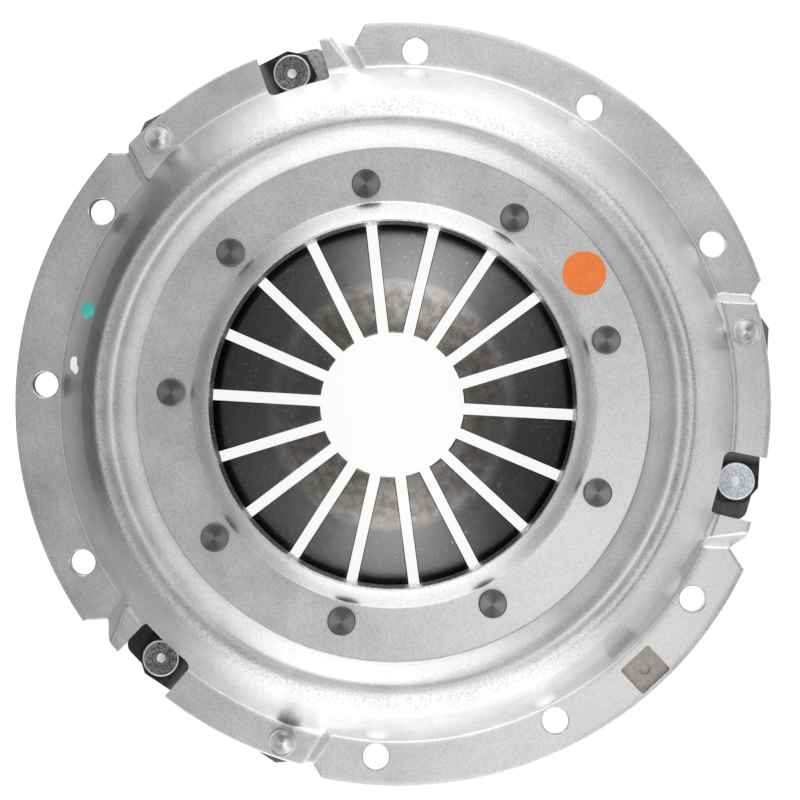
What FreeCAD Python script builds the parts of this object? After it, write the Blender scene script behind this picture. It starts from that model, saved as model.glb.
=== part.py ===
import FreeCAD, Part
import math
import os
import Sketcher

# Clutch cover assembly: a pressed steel cover that carries a slotted diaphragm spring
# on two wire rings, and a cast pressure plate hung from it on three packs of leaf straps.
# Z is the clutch axis and Z = 0 is the face of the cover that bolts to the flywheel.
# X runs through the middle of the first raised strap sector. The clutch is not bolted down.

Vector = FreeCAD.Vector
document = FreeCAD.newDocument("clutch_cover_assembly")
sizes = document.addObject("Spreadsheet::Sheet", "Sizes")
size_count = 0


def size(name, value):
    """Write one driving dimension in the sheet and return the expression that reads it."""
    global size_count
    size_count += 1
    cell = f"A{size_count}"
    sizes.set(cell, str(value))
    sizes.setAlias(cell, name)
    return f"Sizes.{name}"


def angle(name, degrees):
    """A driving angle, as an expression with its unit."""
    return f"({size(name, degrees)} * 1 deg)"


# Repeats
SECTORS = 3
LEAVES = 3
RIVETS = 9
FINGERS = 18
RIDGE_BREAKS = 12

# Spring, its pivot rings and the rivets that hold them
pivot_radius = size("pivot_radius", 78.6)
wire_diameter = size("wire_diameter", 3.6)
wire_play = size("wire_play", 0.05)
spring_thickness = size("spring_thickness", 2.4)
cone_angle = angle("cone_angle", 15)
finger_angle = angle("finger_angle", 9)
lever_arm = size("lever_arm", 17.6)
spring_overhang = size("spring_overhang", 2.3)
knee_radius = size("knee_radius", 40)
tip_radius = size("tip_radius", 23.6)
slot_width = size("slot_width", 3.6)
slot_window_width = size("slot_window_width", 10)
slot_window_length = size("slot_window_length", 10.9)
slot_window_taper = size("slot_window_taper", 2.5)
slot_window_margin = size("slot_window_margin", 1.2)
rivet_shank = size("rivet_shank", 6.6)
rivet_play = size("rivet_play", 0.2)
rivet_head = size("rivet_head", 9.4)
rivet_head_height = size("rivet_head_height", 2.2)
rivet_head_chamfer = size("rivet_head_chamfer", 0.5)
rivet_foot_overhang = size("rivet_foot_overhang", 0.7)
rivet_foot_height = size("rivet_foot_height", 2.4)
first_rivet_angle = angle("first_rivet_angle", 20)

# Pressed cover, as widths and rises going outward from the pivot
sheet_thickness = size("sheet_thickness", 3.8)
cover_height = size("cover_height", 31)
seat_inner_margin = size("seat_inner_margin", 6)
seat_outer_margin = size("seat_outer_margin", 6.2)
lip_width = size("lip_width", 4.3)
lip_rise = size("lip_rise", 3.4)
crest_width = size("crest_width", 11.2)
crest_rise = size("crest_rise", 7.5)
slope_width = size("slope_width", 15.2)
step_width = size("step_width", 3.4)
step_rise = size("step_rise", 1.6)
shoulder_rise = size("shoulder_rise", 0.4)
wall_draft = size("wall_draft", 1.6)
lip_bend = size("lip_bend", 1.2)
seat_bend = size("seat_bend", 1)
crest_bend = size("crest_bend", 9)
step_bend = size("step_bend", 3)
shoulder_bend = size("shoulder_bend", 4.2)
foot_bend = size("foot_bend", 1.5)

# Bolting flange
bolt_setback = size("bolt_setback", 5.8)
bolt_hole = size("bolt_hole", 9)
bolt_spacing = angle("bolt_spacing", 30)
flange_margin = size("flange_margin", 10.5)
corner_length = size("corner_length", 5.7)

# Raised sectors that carry the straps
pad_rise = size("pad_rise", 9)
pad_margin = size("pad_margin", 10)
ramp_run = size("ramp_run", 2.9)
ramp_inset = size("ramp_inset", 2.8)
tab_width = size("tab_width", 3.7)
tab_ramp_run = size("tab_ramp_run", 4.8)
tab_corner_length = size("tab_corner_length", 6.9)
notch_depth = size("notch_depth", 0.8)
window_angle = angle("window_angle", 10.4)
window_lead = angle("window_lead", 0.9)

# Leaf straps and their rivets
strap_offset = size("strap_offset", 1.1)
strap_span = size("strap_span", 50.6)
strap_shift = size("strap_shift", 5.7)
strap_half_width = size("strap_half_width", 8.1)
strap_end = size("strap_end", 7.4)
strap_end_half_width = size("strap_end_half_width", 3.8)
strap_shoulder = size("strap_shoulder", 2)
strap_clamp = size("strap_clamp", 8)
strap_clearance = size("strap_clearance", 0.3)
leaf_thickness = size("leaf_thickness", 0.6)
strap_rivet_shank = size("strap_rivet_shank", 6)
strap_rivet_head = size("strap_rivet_head", 9.4)
strap_rivet_dome = size("strap_rivet_dome", 2.4)
strap_rivet_rim = size("strap_rivet_rim", 0.8)
strap_rivet_foot_height = size("strap_rivet_foot_height", 1.8)
lug_rivet_shank = size("lug_rivet_shank", 8)
lug_rivet_head = size("lug_rivet_head", 12.8)
lug_rivet_head_height = size("lug_rivet_head_height", 3.2)
lug_rivet_chamfer = size("lug_rivet_chamfer", 0.6)
lug_rivet_dimple = size("lug_rivet_dimple", 3.4)
lug_rivet_dimple_depth = size("lug_rivet_dimple_depth", 1.2)
hole_play = size("hole_play", 0.1)

# Cast pressure plate, in the position that it takes before the clutch is bolted down
face_height = size("face_height", 0.5)
plate_lift = size("plate_lift", 2.8)
lift_reserve = size("lift_reserve", 0.3)
plate_clearance = size("plate_clearance", 2.8)
friction_width = size("friction_width", 36)
plate_rim_height = size("plate_rim_height", 6)
plate_back_height = size("plate_back_height", 10.2)
plate_back_slope = size("plate_back_slope", 4.5)
face_chamfer = size("face_chamfer", 1)
ridge_width = size("ridge_width", 3.2)
ridge_flank = size("ridge_flank", 1.4)
ridge_play = size("ridge_play", 0.15)
ridge_gap_width = size("ridge_gap_width", 7)
lug_half_angle = angle("lug_half_angle", 6.1)
lug_margin = size("lug_margin", 7)
lug_relief = size("lug_relief", 0.3)
lug_corner = size("lug_corner", 4)

# Balance insert in the flange and inspection mark on the cover
balance_angle = angle("balance_angle", 196.5)
balance_width = size("balance_width", 13)
balance_length = size("balance_length", 11.4)
balance_wall = size("balance_wall", 1.5)
balance_thickness = size("balance_thickness", 1.7)
balance_corner = size("balance_corner", 0.9)
balance_play = size("balance_play", 0.05)
balance_hole = size("balance_hole", 4.1)
balance_hole_floor = size("balance_hole_floor", 0.5)
mark_angle = angle("mark_angle", 277.6)
mark_diameter = size("mark_diameter", 14.4)
mark_thickness = size("mark_thickness", 0.2)
mark_margin = size("mark_margin", 0.2)
document.recompute()

# Cover radii, from the centre outward
rivet_circle = f"({pivot_radius} - {wire_diameter} / 2 - {rivet_shank} / 2 - {rivet_play})"
seat_inner = f"({rivet_circle} - {seat_inner_margin})"
lip_radius = f"({seat_inner} - {lip_width})"
seat_outer = f"({pivot_radius} + {seat_outer_margin})"
crest_radius = f"({seat_outer} + {crest_width})"
step_radius = f"({crest_radius} + {slope_width})"
shoulder_radius = f"({step_radius} + {step_width})"
foot_radius = f"({shoulder_radius} + {wall_draft})"
bolt_circle = f"({foot_radius} + {bolt_setback})"
flange_radius = f"({bolt_circle} + {flange_margin})"
strap_axis = f"({foot_radius} + {strap_offset})"
pad_radius = f"({strap_axis} + {pad_margin})"

# Cover heights
pad_top = f"({pad_rise} + {sheet_thickness})"
shoulder_height = f"({pad_top} + {shoulder_rise})"
step_height = f"({shoulder_height} + {step_rise})"
seat_underside = f"({cover_height} - {sheet_thickness})"

# Spring surfaces, where each wire ring touches the cone
upper_ring_height = f"({seat_underside} - {wire_play} - {wire_diameter} / 2)"
ring_reach = f"({wire_diameter} / 2 + {wire_play})"
contact_radius = f"({pivot_radius} - {ring_reach} * sin({cone_angle}))"
contact_height = f"({upper_ring_height} - {ring_reach} * cos({cone_angle}))"


def spring_top(radius):
    """Height of the upper face of the cone at a radius."""
    return f"({contact_height} + ({contact_radius} - {radius}) * tan({cone_angle}))"


def spring_bottom(radius):
    """Height of the lower face of the cone at a radius."""
    return f"({spring_top(radius)} - {spring_thickness} / cos({cone_angle}))"


lower_ring_height = f"({spring_bottom(pivot_radius)} - {ring_reach} / cos({cone_angle}))"
rivet_foot_top = f"({lower_ring_height} - {ring_reach})"
ridge_radius = f"({pivot_radius} + {lever_arm})"
ridge_outer = f"({ridge_radius} + {ridge_width} / 2)"
ridge_inner = f"({ridge_radius} - {ridge_width} / 2)"
spring_radius = f"({ridge_radius} + {spring_overhang})"

# Strap holes, in a sector whose straps run along Y
cover_hole = f"({strap_shift} + {strap_span} / 2)"
lug_hole = f"({strap_shift} - {strap_span} / 2)"
lug_angle = f"atan({lug_hole} / {strap_axis})"
lug_hole_radius = f"sqrt({strap_axis}^2 + {lug_hole}^2)"
strap_drop = f"({plate_lift} + {lift_reserve})"
pack_thickness = f"({LEAVES} * {leaf_thickness})"
lug_top = f"({pad_rise} - {pack_thickness} - {strap_drop})"
lug_bottom = f"({face_height} + {lug_relief})"

# Outline of a raised sector
pad_half_width = f"({cover_hole} + {strap_end} + {strap_clearance} + {ramp_inset})"
ramp_foot = f"({pad_half_width} + {ramp_run})"
window_inner = f"({lug_hole_radius} - {lug_rivet_head} / 2 - {strap_clearance})"
window_start = f"({lug_angle} - {window_lead} - {window_angle} / 2)"
window_end = f"({lug_angle} - {window_lead} + {window_angle} / 2)"
tab_side = f"({tab_width} - {pad_radius} * sin({window_start}))"
tab_foot = f"({tab_side} + {tab_ramp_run})"

# Plate radii
plate_radius = f"({shoulder_radius} - {sheet_thickness} - {plate_clearance})"
plate_bore = f"({plate_radius} - {friction_width})"
lug_radius = f"({lug_hole_radius} + {lug_margin})"
plate_back = f"({face_height} + {plate_back_height})"


def value(expression):
    """The number that an expression gives with the sizes in the sheet."""
    result = sizes.evalExpression(expression)
    return float(getattr(result, "Value", result))


def bind_point(sketch, line, end, x, y):
    """Hold one end of a line at coordinates given as expressions."""
    for kind, axis, expression in (("DistanceX", -2, x), ("DistanceY", -1, y)):
        if expression is None:
            continue
        if expression == "0":
            sketch.addConstraint(Sketcher.Constraint("PointOnObject", line, end, axis))
            continue
        bind(sketch, expression, kind, -1, 1, line, end)


def bind(sketch, expression, kind, *where):
    """Add a dimension to a sketch and tie it to an expression."""
    number = value(expression)
    index = sketch.addConstraint(Sketcher.Constraint(kind, *where, number))
    sketch.setExpression(f"Constraints[{index}]", expression)


def polygon(sketch, corners):
    """Draw a closed outline through corners given as pairs of expressions."""
    points = [Vector(value(x), value(y), 0) for x, y in corners]
    first = len(sketch.Geometry)
    count = len(points)
    for index, point in enumerate(points):
        sketch.addGeometry(Part.LineSegment(point, points[(index + 1) % count]))
    for index in range(count):
        line = first + index
        following = first + (index + 1) % count
        sketch.addConstraint(Sketcher.Constraint("Coincident", line, 2, following, 1))
    for index, (x, y) in enumerate(corners):
        bind_point(sketch, first + index, 1, x, y)


def circle(sketch, x, y, diameter):
    """Draw a circle whose centre and diameter are expressions."""
    centre = Vector(value(x), value(y), 0)
    normal = Vector(0, 0, 1)
    index = sketch.addGeometry(Part.Circle(centre, normal, value(diameter) / 2))
    bind_point(sketch, index, 3, x, y)
    bind(sketch, diameter, "Diameter", index)


def ring_piece(sketch, inner, outer, inner_sides, outer_sides):
    """Draw a piece of a ring across the X axis, with its corners at given Y values."""
    low = [value(inner_sides[0]), value(outer_sides[0])]
    high = [value(inner_sides[1]), value(outer_sides[1])]
    radii = [value(inner), value(outer)]
    origin = Vector(0, 0, 0)
    start = [math.asin(y / radius) for y, radius in zip(low, radii)]
    end = [math.asin(y / radius) for y, radius in zip(high, radii)]
    corner = [
        [Vector(radius * math.cos(a), radius * math.sin(a), 0) for radius, a in zip(radii, side)]
        for side in (start, end)
    ]
    arcs = []
    for radius, a, b in zip(radii, start, end):
        curve = Part.ArcOfCircle(Part.Circle(origin, Vector(0, 0, 1), radius), a, b)
        arcs.append(sketch.addGeometry(curve))
    sides = [sketch.addGeometry(Part.LineSegment(*points)) for points in corner]
    for arc, radius, (low_side, high_side) in zip(
        arcs, (inner, outer), (inner_sides, outer_sides)
    ):
        sketch.addConstraint(Sketcher.Constraint("Coincident", arc, 3, -1, 1))
        bind(sketch, radius, "Radius", arc)
        bind_point(sketch, arc, 1, None, low_side)
        bind_point(sketch, arc, 2, None, high_side)
    for end_number, side in enumerate(sides, start=1):
        sketch.addConstraint(Sketcher.Constraint("Coincident", side, 1, arcs[0], end_number))
        sketch.addConstraint(Sketcher.Constraint("Coincident", side, 2, arcs[1], end_number))


def bent_line(sketch, corners):
    """Draw an open line through corners, with a tangent bend at each that has a radius."""
    points = [Vector(value(x), value(y), 0) for x, y, _ in corners]
    starts = list(points)
    ends = list(points)
    bends = []
    for index, (x, y, bend) in enumerate(corners):
        if bend is None:
            continue
        back = (points[index - 1] - points[index]).normalize()
        ahead = (points[index + 1] - points[index]).normalize()
        half = back.getAngle(ahead) / 2
        radius = value(bend)
        ends[index] = points[index] + back * (radius / math.tan(half))
        starts[index] = points[index] + ahead * (radius / math.tan(half))
        centre = points[index] + (back + ahead).normalize() * (radius / math.sin(half))
        bends.append((index, centre, radius))
    lines = [
        sketch.addGeometry(Part.LineSegment(starts[index], ends[index + 1]))
        for index in range(len(points) - 1)
    ]
    bind_point(sketch, lines[0], 1, corners[0][0], corners[0][1])
    bind_point(sketch, lines[-1], 2, corners[-1][0], corners[-1][1])
    for index, centre, radius in bends:
        into = ends[index] - centre
        out = starts[index] - centre
        left = into.cross(out).z > 0
        first, last = (into, out) if left else (out, into)
        start_angle = math.atan2(first.y, first.x)
        end_angle = math.atan2(last.y, last.x)
        curve = Part.ArcOfCircle(
            Part.Circle(centre, Vector(0, 0, 1), radius), start_angle, end_angle
        )
        arc = sketch.addGeometry(curve)
        corner = sketch.addGeometry(Part.Point(points[index]), True)
        x, y, bend = corners[index]
        bind_point(sketch, corner, 1, x, y)
        for line in (lines[index - 1], lines[index]):
            sketch.addConstraint(Sketcher.Constraint("PointOnObject", corner, 1, line))
        meets = (1, 2) if left else (2, 1)
        sketch.addConstraint(Sketcher.Constraint("Tangent", lines[index - 1], 2, arc, meets[0]))
        sketch.addConstraint(Sketcher.Constraint("Tangent", lines[index], 1, arc, meets[1]))
        bind(sketch, bend, "Radius", arc)


def new_body(label, turn=None, radius=None):
    """A body for one sub-part, turned about the clutch axis and set out at a radius."""
    body = document.addObject("PartDesign::Body", label)
    body.Label = label
    place(body, turn, radius)
    return body


def place(piece, turn=None, radius=None, height=None):
    """Set a piece at an angle about the clutch axis, at a radius and at a height."""
    axis = Vector(0, 0, 1)
    if turn is not None:
        piece.Placement = FreeCAD.Placement(Vector(0, 0, 0), FreeCAD.Rotation(axis, 1))
        piece.setExpression("Placement.Rotation.Angle", turn)
    if radius is not None:
        piece.setExpression("Placement.Base.x", f"{radius} * cos({turn})")
        piece.setExpression("Placement.Base.y", f"{radius} * sin({turn})")
    if height is not None:
        piece.setExpression("Placement.Base.z", height)


def origin_feature(body, role):
    """An origin plane or axis of a body, found by its role."""
    return next(item for item in body.Origin.OriginFeatures if item.Role == role)


def new_sketch(body, name, plane, offset=None, turn=None):
    """A sketch on an origin plane, moved along its normal or turned about Z on the XY plane."""
    sketch = body.newObject("Sketcher::SketchObject", name)
    sketch.AttachmentSupport = [(origin_feature(body, plane), "")]
    sketch.MapMode = "FlatFace"
    if turn is not None:
        turned = FreeCAD.Rotation(Vector(0, 0, 1), 1)
        sketch.AttachmentOffset = FreeCAD.Placement(Vector(0, 0, 0), turned)
        sketch.setExpression("AttachmentOffset.Rotation.Angle", turn)
    if offset is not None:
        sketch.setExpression("AttachmentOffset.Base.z", offset)
    return sketch


def revolution(body, name, sketch):
    """Turn a section about the body's own Z axis."""
    feature = body.newObject("PartDesign::Revolution", name)
    feature.Profile = sketch
    feature.ReferenceAxis = (sketch, ["V_Axis"])
    feature.Angle = 360
    return feature


def pad(body, name, sketch, length, midplane=False):
    """Add material along a sketch's normal."""
    feature = body.newObject("PartDesign::Pad", name)
    feature.Profile = sketch
    feature.Midplane = midplane
    feature.setExpression("Length", length)
    return feature


def pocket(body, name, sketch, depth=None):
    """Cut upward from a sketch to a depth, or through the whole body both ways."""
    feature = body.newObject("PartDesign::Pocket", name)
    feature.Profile = sketch
    feature.Reversed = True
    if depth is None:
        feature.Type = "ThroughAll"
        feature.Midplane = True
    else:
        feature.setExpression("Length", depth)
    return feature


def polar_pattern(body, name, originals, count):
    """Repeat features evenly about the clutch axis."""
    feature = body.newObject("PartDesign::PolarPattern", name)
    feature.Originals = originals
    feature.Axis = (origin_feature(body, "Z_Axis"), [""])
    feature.Angle = 360
    feature.Occurrences = count
    body.Tip = feature
    return feature


def upright_edges(shape, places, reach=0.3):
    """Names of the edges along Z whose middle lies at one of some XY points."""
    names = []
    for number, edge in enumerate(shape.Edges, start=1):
        box = edge.BoundBox
        if box.ZLength < reach or max(box.XLength, box.YLength) > reach:
            continue
        middle = Vector(box.Center.x, box.Center.y, 0)
        if any(middle.distanceToPoint(place) < reach for place in places):
            names.append(f"Edge{number}")
    return names


def fillet(body, name, base, edges, radius):
    """Round the named edges of the last feature."""
    feature = body.newObject("PartDesign::Fillet", name)
    feature.Base = (base, edges)
    feature.setExpression("Radius", radius)
    body.Tip = feature
    return feature


def make_cover():
    """The pressed cover: a bent sheet section turned about Z, blanked into three sectors."""
    line = document.addObject("Sketcher::SketchObject", "cover_line")
    line.Placement = FreeCAD.Placement(
        Vector(0, 0, 0), FreeCAD.Rotation(Vector(1, 0, 0), 90)
    )
    bent_line(
        line,
        [
            (flange_radius, sheet_thickness, None),
            (foot_radius, sheet_thickness, foot_bend),
            (shoulder_radius, shoulder_height, shoulder_bend),
            (step_radius, step_height, step_bend),
            (crest_radius, f"({cover_height} + {crest_rise})", crest_bend),
            (seat_outer, cover_height, seat_bend),
            (seat_inner, cover_height, lip_bend),
            (lip_radius, f"({cover_height} + {lip_rise})", None),
        ],
    )
    section = document.addObject("Part::Offset2D", "cover_section")
    section.Source = line
    section.Mode = "Skin"
    section.Join = "Intersection"
    section.Fill = True
    section.setExpression("Value", sheet_thickness)
    pressing = document.addObject("Part::Revolution", "cover_pressing")
    pressing.Source = section
    pressing.Axis = Vector(0, 0, 1)
    pressing.Angle = 360
    pressing.Solid = True

    body = new_body("cover")
    body.BaseFeature = pressing
    document.recompute()

    # The flange and wall are cut away below each raised sector
    wall_inside = f"({shoulder_radius} - 1.5 * {sheet_thickness})"
    beyond = f"({flange_radius} + {flange_margin})"
    opening_sides = (f"-({tab_foot} - {ramp_inset})", f"({ramp_foot} - {ramp_inset})")
    sketch = new_sketch(body, "sector_opening_outline", "XY_Plane")
    ring_piece(sketch, wall_inside, beyond, opening_sides, opening_sides)
    opening = pocket(body, "sector_opening", sketch, pad_rise)

    # The raised sector itself, narrower on the side of its window
    sketch = new_sketch(body, "raised_sector_outline", "XY_Plane", offset=pad_rise)
    inside = f"({shoulder_radius} - {sheet_thickness} / 2)"
    sides = (f"-{tab_side}", pad_half_width)
    ring_piece(sketch, inside, pad_radius, sides, sides)
    sector = pad(body, "raised_sector", sketch, sheet_thickness)

    # The ramps at its two ends, each with a notch where it meets the flange
    ends = (
        ("", "ahead", pad_half_width, ramp_foot, corner_length),
        ("-", "behind", tab_side, tab_foot, tab_corner_length),
    )
    wall_middle = f"({shoulder_radius} - {wall_draft} / 2)"
    ramp_base = f"({sheet_thickness} / 2)"
    ramps = []
    for sign, name, half_width, foot, _ in ends:
        ramp_side = f"({half_width} - {ramp_inset})"
        ramp_start = f"sqrt({wall_middle}^2 - {ramp_side}^2)"
        pad_corner = f"sqrt({pad_radius}^2 - {half_width}^2)"
        ramp_length = f"({pad_corner} - {ramp_start} - {hole_play})"
        sketch = new_sketch(body, f"ramp_{name}_section", "YZ_Plane", offset=ramp_start)
        polygon(
            sketch,
            [
                (f"{sign}{half_width}", pad_top),
                (f"{sign}{foot}", sheet_thickness),
                (f"{sign}{foot}", ramp_base),
                (f"{sign}({foot} - {ramp_inset})", ramp_base),
                (f"{sign}{ramp_side}", pad_rise),
            ],
        )
        ramps.append(pad(body, f"ramp_{name}", sketch, ramp_length))
    sketch = new_sketch(body, "notch_outline", "XY_Plane")
    for sign, _, half_width, foot, length in ends:
        pad_corner = f"sqrt({pad_radius}^2 - {half_width}^2)"
        notch_root = f"sqrt(({pad_radius} - {notch_depth})^2 - {foot}^2)"
        corner = f"({foot} + {length})"
        flange_corner = f"sqrt({flange_radius}^2 - {corner}^2)"
        polygon(
            sketch,
            [
                (pad_corner, f"{sign}{half_width}"),
                (notch_root, f"{sign}{foot}"),
                (flange_corner, f"{sign}{corner}"),
                (beyond, f"{sign}{corner}"),
                (beyond, f"{sign}{half_width}"),
            ],
        )
    notches = pocket(body, "notches", sketch)

    # A window over the rivet of the plate's lug, and a hole for the strap rivet
    sketch = new_sketch(body, "window_outline", "XY_Plane")
    inner_sides = [f"{window_inner} * sin({side})" for side in (window_start, window_end)]
    outer_sides = [f"{beyond} * sin({side})" for side in (window_start, window_end)]
    ring_piece(sketch, window_inner, beyond, inner_sides, outer_sides)
    window = pocket(body, "window", sketch)
    sketch = new_sketch(body, "sector_hole_outlines", "XY_Plane")
    circle(sketch, strap_axis, cover_hole, f"({strap_rivet_shank} + {hole_play})")
    for step in (1, 2, 3):
        turn = f"({step} * {bolt_spacing})"
        circle(sketch, f"{bolt_circle} * cos({turn})", f"{bolt_circle} * sin({turn})", bolt_hole)
    holes = pocket(body, "sector_holes", sketch)
    features = [opening, sector, *ramps, notches, window, holes]
    polar_pattern(body, "three_sectors", features, SECTORS)

    # Holes for the spring rivets
    sketch = new_sketch(body, "spring_rivet_hole_outline", "XY_Plane")
    x = f"{rivet_circle} * cos({first_rivet_angle})"
    y = f"{rivet_circle} * sin({first_rivet_angle})"
    circle(sketch, x, y, f"({rivet_shank} + {hole_play})")
    hole = pocket(body, "spring_rivet_hole", sketch)
    polar_pattern(body, "spring_rivet_holes", [hole], RIVETS)

    # A square hole in the flange for the balance insert
    sketch = new_sketch(body, "balance_hole_outline", "XY_Plane", turn=balance_angle)
    centre = f"({flange_radius} - {balance_wall} - {balance_length} / 2)"
    square(sketch, centre, balance_length, balance_width)
    balance = pocket(body, "balance_hole", sketch)
    body.Tip = balance
    document.recompute()

    # Rounded corners of the balance hole
    places = []
    turn = math.radians(value(balance_angle))
    for length in (-value(balance_length) / 2, value(balance_length) / 2):
        for width in (-value(balance_width) / 2, value(balance_width) / 2):
            radius = value(centre) + length
            x = radius * math.cos(turn) - width * math.sin(turn)
            y = radius * math.sin(turn) + width * math.cos(turn)
            places.append(Vector(x, y, 0))
    edges = upright_edges(balance.Shape, places)
    fillet(body, "balance_hole_corners", balance, edges, balance_corner)
    return body


def square(sketch, centre, length, width, play="0"):
    """Draw a rectangle about a point of the X axis, smaller by a play all round."""
    low = f"({centre} - {length} / 2 + {play})"
    high = f"({centre} + {length} / 2 - {play})"
    side = f"({width} / 2 - {play})"
    polygon(sketch, [(low, f"-{side}"), (high, f"-{side}"), (high, side), (low, side)])


def make_balance_insert():
    """A square insert at the bottom of the hole in the flange, with a blind hole."""
    body = new_body("balance_insert", balance_angle)
    sketch = new_sketch(body, "insert_outline", "XY_Plane")
    centre = f"({flange_radius} - {balance_wall} - {balance_length} / 2)"
    square(sketch, centre, balance_length, balance_width, balance_play)
    block = pad(body, "insert", sketch, balance_thickness)
    sketch = new_sketch(body, "blind_hole_outline", "XY_Plane", offset=balance_hole_floor)
    circle(sketch, centre, "0", balance_hole)
    pocket(body, "blind_hole", sketch, balance_thickness)
    document.recompute()
    edges = [
        f"Edge{number}"
        for number, edge in enumerate(body.Tip.Shape.Edges, start=1)
        if isinstance(edge.Curve, Part.Line) and edge.BoundBox.ZLength > value(balance_play)
    ]
    fillet(body, "insert_corners", body.Tip, edges, balance_corner)
    return body


def make_mark():
    """A plain round inspection mark stuck to the cover."""
    mark = document.addObject("Part::Cylinder", "inspection_mark")
    mark.Label = "inspection_mark"
    mark.setExpression("Radius", f"{mark_diameter} / 2")
    mark.setExpression("Height", mark_thickness)
    radius = f"({seat_outer} - {seat_bend} - {mark_margin} - {mark_diameter} / 2)"
    place(mark, mark_angle, radius, cover_height)
    return mark


def make_spring():
    """The diaphragm spring: a coned disc slit into fingers, each slit ending in a window."""
    body = new_body("diaphragm_spring")
    finger_rise = f"({knee_radius} - {tip_radius}) * tan({finger_angle})"
    inner_top = f"({spring_top(knee_radius)} + {finger_rise})"
    inner_bottom = f"({inner_top} - {spring_thickness} / cos({finger_angle}))"
    sketch = new_sketch(body, "spring_section", "XZ_Plane")
    polygon(
        sketch,
        [
            (tip_radius, inner_bottom),
            (knee_radius, spring_bottom(knee_radius)),
            (spring_radius, spring_bottom(spring_radius)),
            (spring_radius, spring_top(spring_radius)),
            (knee_radius, spring_top(knee_radius)),
            (tip_radius, inner_top),
        ],
    )
    revolution(body, "coned_disc", sketch)
    window_outer = f"({pivot_radius} - {slot_window_margin})"
    window_root = f"({window_outer} - {slot_window_length})"
    neck = f"({window_root} - {slot_window_taper})"
    before = f"({tip_radius} - {spring_thickness})"
    sketch = new_sketch(body, "slit_outline", "XY_Plane")
    polygon(
        sketch,
        [
            (before, f"-{slot_width} / 2"),
            (neck, f"-{slot_width} / 2"),
            (window_root, f"-{slot_window_width} / 2"),
            (window_outer, f"-{slot_window_width} / 2"),
            (window_outer, f"{slot_window_width} / 2"),
            (window_root, f"{slot_window_width} / 2"),
            (neck, f"{slot_width} / 2"),
            (before, f"{slot_width} / 2"),
        ],
    )
    slit = pocket(body, "slit", sketch)
    polar_pattern(body, "slits", [slit], FINGERS)
    return body


def make_ring(label, height):
    """A wire ring on which the spring tilts."""
    ring = document.addObject("Part::Torus", label)
    ring.Label = label
    ring.setExpression("Radius1", pivot_radius)
    ring.setExpression("Radius2", f"{wire_diameter} / 2")
    place(ring, height=height)
    return ring


def make_spring_rivet(number):
    """A rivet through the cover and a window of the spring, whose foot holds the lower ring."""
    turn = f"({first_rivet_angle} + {number} * 360 deg / {RIVETS})"
    body = new_body(f"spring_rivet_{number + 1}", turn, rivet_circle)
    foot_radius_here = f"({pivot_radius} - {rivet_circle} + {rivet_foot_overhang})"
    head_top = f"({cover_height} + {rivet_head_height})"
    sketch = new_sketch(body, "rivet_section", "XZ_Plane")
    polygon(
        sketch,
        [
            ("0", f"({rivet_foot_top} - {rivet_foot_height})"),
            (foot_radius_here, f"({rivet_foot_top} - {rivet_foot_height})"),
            (foot_radius_here, rivet_foot_top),
            (f"{rivet_shank} / 2", rivet_foot_top),
            (f"{rivet_shank} / 2", cover_height),
            (f"{rivet_head} / 2", cover_height),
            (f"{rivet_head} / 2", f"({head_top} - {rivet_head_chamfer})"),
            (f"({rivet_head} / 2 - {rivet_head_chamfer})", head_top),
            ("0", head_top),
        ],
    )
    revolution(body, "rivet", sketch)
    return body


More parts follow.
